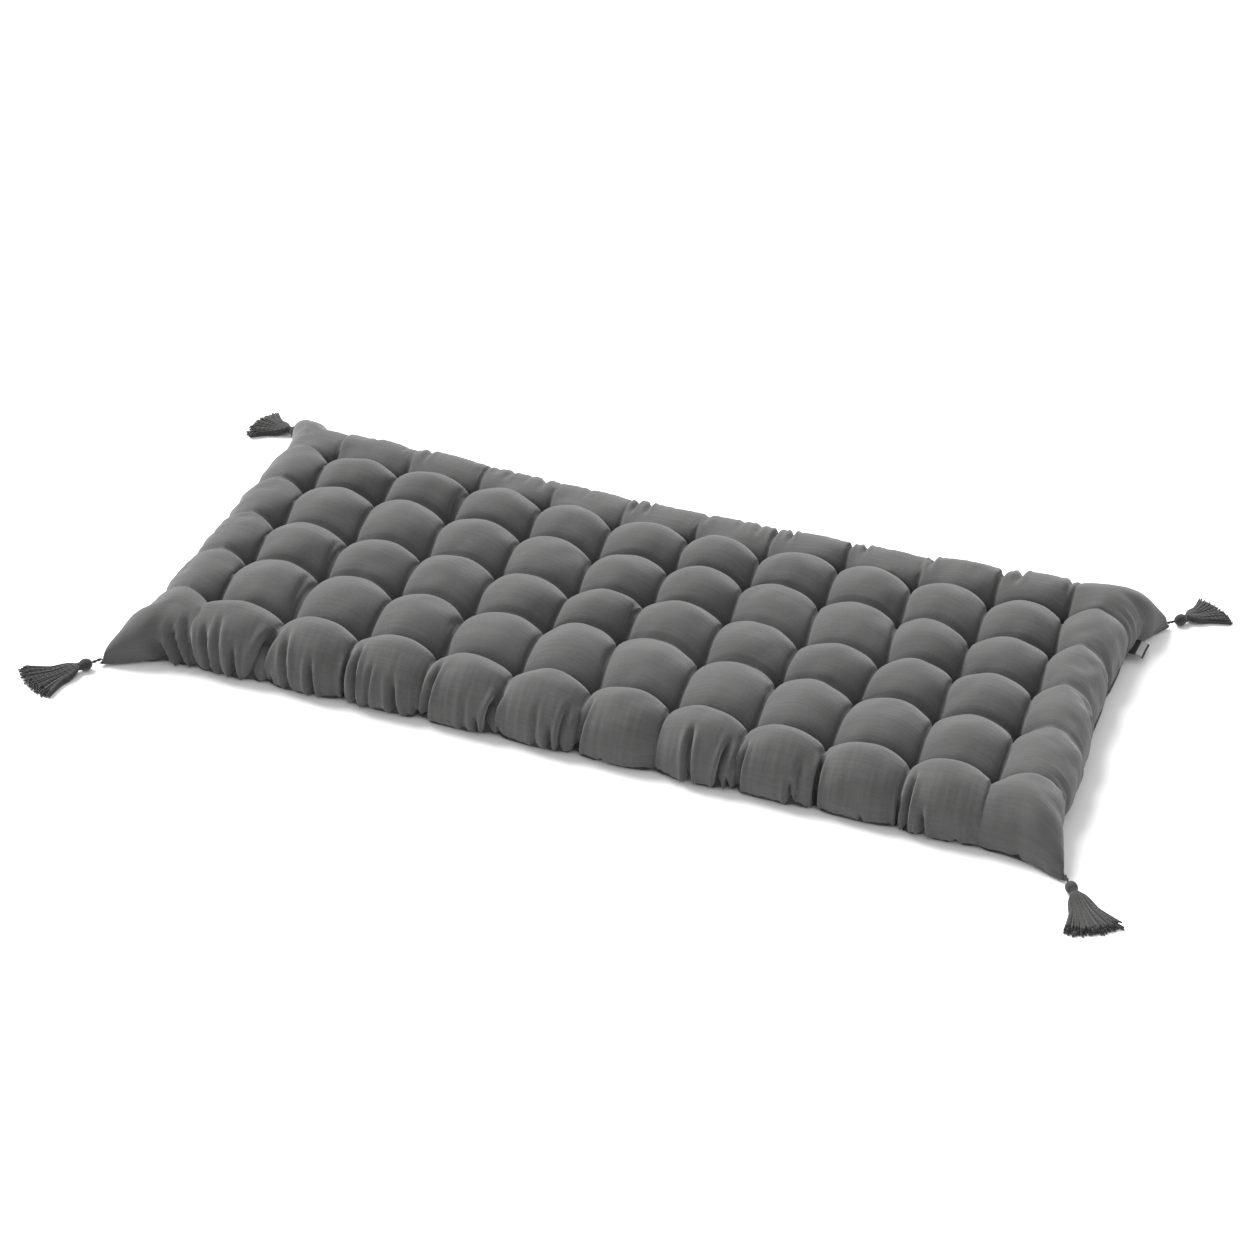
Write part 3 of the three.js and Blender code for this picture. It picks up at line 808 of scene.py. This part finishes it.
def add_neck(parts):
    """The thread wound round the neck, and the bundle under it."""
    start = HEAD["from"] + HEAD["length"] - NECK["overlap"]
    angle = np.linspace(0, NECK["turns"] * 2 * math.pi, NECK["turns"] * NECK["steps"])
    x = start + angle / (2 * math.pi) * NECK["thread"] * NECK["spacing"]
    away = NECK["radius"] + NECK["proud"]
    path = np.stack([x, away * np.cos(angle), HEAD["radius"] + away * np.sin(angle)], -1)
    parts.add_tube(path, NECK["thread"], NECK["sides"])
    first = start - NECK["into_head"]
    core = np.array([[first, 0, HEAD["radius"]], [first + NECK["core"], 0, HEAD["radius"]]])
    parts.add_tube(core, NECK["radius"], NECK["core_sides"])


def strand_height(steps, layer, place, loose):
    """Height along a strand, from its root in the neck down to the floor."""
    settle = 1 - (1 - np.clip(steps / SKIRT["settled"], 0, 1)) ** 2
    root = (layer - SKIRT["middle_layer"]) * SKIRT["root_layer"] * (1 - SKIRT["flatter"] * place**2)
    floor = YARN["radius"] * SKIRT["clear"] + layer * SKIRT["floor_layer"] * loose
    hump = SKIRT["hump"] * np.sin(math.pi * settle) * (layer > 1)
    return lerp(HEAD["radius"] + root, floor, settle) + hump


def add_skirt(parts, length, spread, rng):
    """Layers of twisted yarns that fan out and lie on the floor."""
    root = HEAD["from"] + HEAD["length"] + NECK["length"] - SKIRT["overlap"]
    steps = np.linspace(0, 1, SKIRT["steps"])
    taper = np.where(steps < SKIRT["root_share"], SKIRT["root_taper"], 1.0)
    count, crowding = SKIRT["strands"], SKIRT["crowding"]
    for layer in range(SKIRT["layers"]):
        for k in range(count):
            place = ((k + 0.5 + rng.uniform(-crowding, crowding)) / count) * 2 - 1
            reach = length + rng.uniform(-1, SKIRT["longest"]) * SKIRT["uneven"] - SKIRT["shorter"] * layer
            turn = math.radians(spread) * place * lerp(SKIRT["straight"], 1, steps)
            bend = rng.uniform(-1, 1) * SKIRT["bend"] * np.sin(math.pi * steps * rng.uniform(1, 2))
            x = root + reach * steps * np.cos(turn)
            y = SKIRT["root_half"] * place + reach * steps * np.sin(turn) + bend
            y = y + place * SKIRT["swell"] * np.sin(math.pi * np.clip(2 * steps, 0, 1)) * (1 - steps)
            z = strand_height(steps, layer, place, rng.uniform(SKIRT["loose"], 1.0))
            radius = YARN["radius"] * rng.uniform(*SKIRT["thick"])
            path = np.stack([x, y, z], -1)
            how = {"lobe": YARN["lobe"], "turn": YARN["turn"], "taper": taper}
            parts.add_tube(path, radius, SKIRT["sides"], **how)


def make_tassel(row, seed):
    rng = np.random.default_rng(seed)
    parts = Parts()
    add_tie(parts)
    add_head(parts)
    add_neck(parts)
    add_skirt(parts, row["skirt"], row["spread"], rng)
    x, y = TIPS[row["tip"]]
    where = Matrix.Translation((x * row["tip"][0], y * row["tip"][1], 0))
    where = where @ Matrix.Rotation(math.radians(row["heading"]), 4, "Z")
    return parts.piece("yarn_" + row["name"], where)


# Tag, a folded woven loop with nothing on it
TAG = {
    "along": 0.034, "out": 0.011, "thick": 0.0016, "x": 0.5795, "y": 0.224, "z": 0.012,
    "gap": 0.0004, "droop": 0.003, "turn": 3, "ribbon": 0.00055, "inset": 0.015, "wave": 0.0006,
    "out_steps": 9, "fold_steps": 8, "along_steps": 18,
}


def tag_line(half):
    """One side of the ribbon's section: out along the lower layer, round the fold and back."""
    away = TAG["out"] - TAG["thick"] / 2
    stops = np.linspace(-TAG["inset"], away, TAG["out_steps"])
    turns = [step / TAG["fold_steps"] * math.pi - math.pi / 2 for step in range(1, TAG["fold_steps"])]
    fold = [(away + half * math.cos(angle), half * math.sin(angle)) for angle in turns]
    return [(x, -half) for x in stops] + fold + [(x, half) for x in stops[::-1]]


def make_tag():
    """Two layers of ribbon that meet in a rounded fold at the outer edge."""
    half = TAG["thick"] / 2
    section = np.array(tag_line(half) + tag_line(half - TAG["ribbon"])[::-1])
    share = np.clip(section[:, 0] / TAG["out"], 0, 1)
    points = []
    for row in np.linspace(-0.5, 0.5, TAG["along_steps"]):
        y = np.full(len(section), row * TAG["along"])
        z = TAG["z"] + section[:, 1] - TAG["droop"] * share**2 + TAG["wave"] * share * np.sin(5 * row + 1)
        points.append(np.stack([section[:, 0], y, z], -1))
    points = np.array(points)
    index = np.arange(points[..., 0].size).reshape(points.shape[:2])
    nxt = np.roll(index, -1, axis=1)
    quads = np.stack([index[:-1], index[1:], nxt[1:], nxt[:-1]], -1).reshape(-1, 4)
    count = len(section) // 2
    caps = cap_quads(index[0], count)[:, ::-1], cap_quads(index[-1], count)
    where = Matrix.Translation((TAG["x"] + TAG["gap"], TAG["y"], 0))
    where = where @ Matrix.Rotation(math.radians(-TAG["turn"]), 4, "Z")
    flat = points.reshape(-1, 3)
    moved = flat @ np.array(where.to_3x3()).T + np.array(where.translation)
    tag = mesh_object("woven_tag", moved, [np.concatenate([quads, *caps])])
    store(tag, "ribbon", flat)
    return tag


def cap_quads(loop, count):
    """Quads that close the end of a section whose two lines run side by side."""
    outer, inner = loop[:count], loop[count:][::-1]
    return np.stack([outer[:-1], outer[1:], inner[1:], inner[:-1]], -1)


# Materials
class Nodes:
    """Short ways to add nodes to a new material."""

    def __init__(self, name, roughness, sheen, sheen_roughness):
        self.material = bpy.data.materials.new(name)
        self.material.use_nodes = True
        self.tree = self.material.node_tree
        self.shader = self.tree.nodes["Principled BSDF"]
        self.shader.inputs["Roughness"].default_value = roughness
        self.shader.inputs["Specular IOR Level"].default_value = 0.2
        self.shader.inputs["Sheen Weight"].default_value = sheen
        self.shader.inputs["Sheen Roughness"].default_value = sheen_roughness

    def add(self, kind, inputs=None, **settings):
        node = self.tree.nodes.new(kind)
        for key, value in settings.items():
            setattr(node, key, value)
        for key, value in (inputs or {}).items():
            if isinstance(value, bpy.types.NodeSocket):
                self.tree.links.new(value, node.inputs[key])
            else:
                node.inputs[key].default_value = value
        return node

    def math(self, operation, a, b=0.0):
        return self.add("ShaderNodeMath", {0: a, 1: b}, operation=operation).outputs[0]

    def link(self, output, name):
        self.tree.links.new(output, self.shader.inputs[name])

    def place(self, attribute):
        node = self.add("ShaderNodeAttribute", attribute_name=attribute)
        return node.outputs["Vector"]

    def parts(self, vector):
        return self.add("ShaderNodeSeparateXYZ", {"Vector": vector}).outputs

    def noise(self, vector, scale, detail, stretch=None):
        if stretch:
            mapping = self.add("ShaderNodeMapping", {"Vector": vector, "Scale": stretch})
            vector = mapping.outputs["Vector"]
        inputs = {"Vector": vector, "Scale": scale, "Detail": detail}
        return self.add("ShaderNodeTexNoise", inputs).outputs["Fac"]

    def ramp(self, value, stops):
        node = self.add("ShaderNodeValToRGB", {"Fac": value})
        elements = node.color_ramp.elements
        while len(elements) < len(stops):
            elements.new(0.5)
        for element, (place, grey) in zip(elements, stops):
            element.position = place
            element.color = (grey, grey, grey, 1)
        return node.outputs["Color"]

    def mix(self, share, a, b):
        return self.add("ShaderNodeMix", {0: share, 6: a, 7: b}, data_type="RGBA").outputs[2]

    def bump(self, height, distance, strength, under=None):
        inputs = {"Height": height, "Distance": distance, "Strength": strength}
        if under is not None:
            inputs["Normal"] = under
        return self.add("ShaderNodeBump", inputs).outputs["Normal"]


COVER_GREY = (0.06, 0.06, 0.059, 1)
COVER_LIGHT = (0.08, 0.08, 0.079, 1)
WEAVE_PAINTED_SHADE = (0.042, 0.042, 0.042, 1)  # painted shade between the threads
YARN_GREY = (0.026, 0.026, 0.025, 1)
YARN_LIGHT = (0.041, 0.041, 0.04, 1)
TAG_BLACK = (0.01, 0.01, 0.01, 1)
TAG_PALE = (0.45, 0.45, 0.44, 1)
THREAD = 0.0007  # width of a thread in the cover's plain weave
RIB = 0.0006  # from one cross rib of the ribbon to the next
# How much the noises repeat in a metre along and across the cloth, or each way
SLUBS_ALONG, SLUBS_ACROSS = (60, 900, 1), (900, 60, 1)
STREAKS, CRINKLES = (14, 230, 1), (260, 130, 1)
PATCHES, FIBRES = 9.0, 1400.0
BAND = [(0.04, 0.0), (0.08, 1.0), (0.78, 1.0), (0.82, 0.0)]  # the pale band, as shares of the tag
RELIEF = {
    "crinkles": 0.0006, "streaks": 0.0008, "slubs": 0.0004, "weave": 0.00018,
    "fibres": 0.0003, "ribs": 0.00012,
}


def cotton():
    """Plain-woven cotton: fine threads over and under, with thicker slubs here and there."""
    m = Nodes("cotton", roughness=0.92, sheen=0.25, sheen_roughness=0.5)
    place = m.place("cloth")
    x, y, _ = m.parts(place)
    wave_x = m.math("SINE", m.math("MULTIPLY", x, math.pi / THREAD))
    wave_y = m.math("SINE", m.math("MULTIPLY", y, math.pi / THREAD))
    weave = m.math("ADD", m.math("MULTIPLY", m.math("MULTIPLY", wave_x, wave_y), 0.5), 0.5)
    slub_along = m.noise(place, 1.0, 2.0, SLUBS_ALONG)
    slub_across = m.noise(place, 1.0, 2.0, SLUBS_ACROSS)
    slubs = m.math("MULTIPLY", m.math("ADD", slub_along, slub_across), 0.5)
    streaks = m.noise(place, 1.0, 3.0, STREAKS)
    patches = m.noise(place, PATCHES, 3.0)
    soft_shade = m.math("ADD", m.math("MULTIPLY", streaks, 0.6), m.math("MULTIPLY", patches, 0.4))
    shade = m.math("ADD", m.math("MULTIPLY", slubs, 0.4), m.math("MULTIPLY", soft_shade, 0.6))
    tone = m.mix(m.ramp(shade, [(0.35, 0.0), (0.65, 1.0)]), COVER_GREY, COVER_LIGHT)
    # Painted shade: the weave pattern tints the cloth up to a quarter of the way to a darker grey, between
    # the threads
    m.link(m.mix(m.math("MULTIPLY", weave, 0.25), tone, WEAVE_PAINTED_SHADE), "Base Color")
    crinkle = m.noise(place, 1.0, 3.0, CRINKLES)
    soft = m.bump(crinkle, RELIEF["crinkles"], 0.6, m.bump(streaks, RELIEF["streaks"], 0.5))
    threads = m.bump(slubs, RELIEF["slubs"], 0.5, soft)
    m.link(m.bump(weave, RELIEF["weave"], 0.6, threads), "Normal")
    return m.material


def yarn():
    """Soft cotton yarn, each strand a little lighter or darker, with fine fibres."""
    m = Nodes("tassel_yarn", roughness=0.9, sheen=0.3, sheen_roughness=0.45)
    parts = m.parts(m.place("yarn"))
    where = m.add("ShaderNodeTexCoord").outputs["Object"]
    fibres = m.noise(where, FIBRES, 3.0)
    shade = m.math("ADD", m.math("MULTIPLY", parts[1], 0.6), m.math("MULTIPLY", fibres, 0.4))
    m.link(m.mix(m.ramp(shade, [(0.15, 0.0), (0.85, 1.0)]), YARN_GREY, YARN_LIGHT), "Base Color")
    m.link(m.bump(fibres, RELIEF["fibres"], 0.7), "Normal")
    return m.material


def ribbon():
    """A woven ribbon: black, with one paler band along the middle and fine cross ribs."""
    m = Nodes("ribbon", roughness=0.7, sheen=0.1, sheen_roughness=0.5)
    x, y, _ = m.parts(m.place("ribbon"))
    band = m.ramp(m.math("DIVIDE", x, TAG["out"]), BAND)
    m.link(m.mix(band, TAG_BLACK, TAG_PALE), "Base Color")
    ribs = m.math("SINE", m.math("MULTIPLY", y, 2 * math.pi / RIB))
    m.link(m.bump(ribs, RELIEF["ribs"], 0.7), "Normal")
    return m.material


def plain(name, colour, roughness):
    material = bpy.data.materials.new(name)
    material.use_nodes = True
    shader = material.node_tree.nodes["Principled BSDF"]
    shader.inputs["Base Color"].default_value = colour
    shader.inputs["Roughness"].default_value = roughness
    return material


# Camera, at the picture's viewing angle
CAMERA = {
    "turn": 15.73, "rise": 31.18, "roll": 4.184, "away": 4.8915,
    "target": (-0.045, 0.0428, 0), "lens": 113.17, "sensor": 36,
}


def make_camera():
    turn, rise = math.radians(CAMERA["turn"]), math.radians(CAMERA["rise"])
    flat = math.cos(rise)
    back = Vector((math.sin(turn) * flat, -math.cos(turn) * flat, math.sin(rise)))
    right = Vector((math.cos(turn), math.sin(turn), 0))
    where = Matrix((right, back.cross(right), back)).transposed().to_4x4()
    where = where @ Matrix.Rotation(math.radians(CAMERA["roll"]), 4, "Z")
    where.translation = Vector(CAMERA["target"]) + back * CAMERA["away"]
    data = bpy.data.cameras.new("camera")
    data.sensor_width = CAMERA["sensor"]
    data.lens = CAMERA["lens"]
    data.clip_end = 100
    camera = bpy.data.objects.new("camera", data)
    camera.matrix_world = where
    scene.collection.objects.link(camera)
    scene.camera = camera


# Stage
FLOOR_SIZE = 14
FLOOR_DROP = 0.0003
FLOOR_WHITE = (0.9, 0.9, 0.9, 1)
KEY = {"from": (-2.45, 1.15, 2.9), "strength": 5.1, "wide": 36}
SKY = {"strength": 0.95, "lean": 0.22}  # brighter on the left by the lean, darker on the right


def make_stage():
    half = FLOOR_SIZE / 2
    corners = [(-half, -half), (half, -half), (half, half), (-half, half)]
    points = [(x, y, -FLOOR_DROP) for x, y in corners]
    floor = mesh_object("floor", points, [[[0, 1, 2, 3]]], smooth=False)
    floor.data.materials.append(plain("pale_floor", FLOOR_WHITE, 0.9))
    data = bpy.data.lights.new("key", "SUN")
    data.energy, data.angle = KEY["strength"], math.radians(KEY["wide"])
    light = bpy.data.objects.new("key", data)
    light.location = KEY["from"]
    light.rotation_euler = (-Vector(KEY["from"])).to_track_quat("-Z", "Y").to_euler()
    scene.collection.objects.link(light)
    scene.world = make_sky()
    scene.view_settings.view_transform = "Standard"


def make_sky():
    """A white sky, a little brighter from the left."""
    world = bpy.data.worlds.new("sky")
    world.use_nodes = True
    nodes, links = world.node_tree.nodes, world.node_tree.links
    background = nodes["Background"]
    background.inputs["Color"].default_value = (1, 1, 1, 1)
    heading = nodes.new("ShaderNodeSeparateXYZ")
    links.new(nodes.new("ShaderNodeTexCoord").outputs["Generated"], heading.inputs["Vector"])
    strength = nodes.new("ShaderNodeMath")
    strength.operation = "MULTIPLY_ADD"
    strength.inputs[1].default_value, strength.inputs[2].default_value = -SKY["lean"], SKY["strength"]
    links.new(heading.outputs["X"], strength.inputs[0])
    links.new(strength.outputs["Value"], background.inputs["Strength"])
    return world


def dress(piece, material, slot, *nodes):
    """Gives a piece its material, and has it ride and stand for its nodes."""
    piece.data.materials.append(material)
    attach(piece, "root")
    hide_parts(*nodes)
    return piece


make_camera()
make_stage()
cover = dress(make_cover(), cotton(), "cotton_cover", "mattress")
tassel_yarn = yarn()
for number, row in enumerate(TASSELS):
    dress(make_tassel(row, number + 1), tassel_yarn, "cotton_yarn", "tassel_" + row["name"])
dress(make_tag(), ribbon(), "woven_tag", "label_tag")
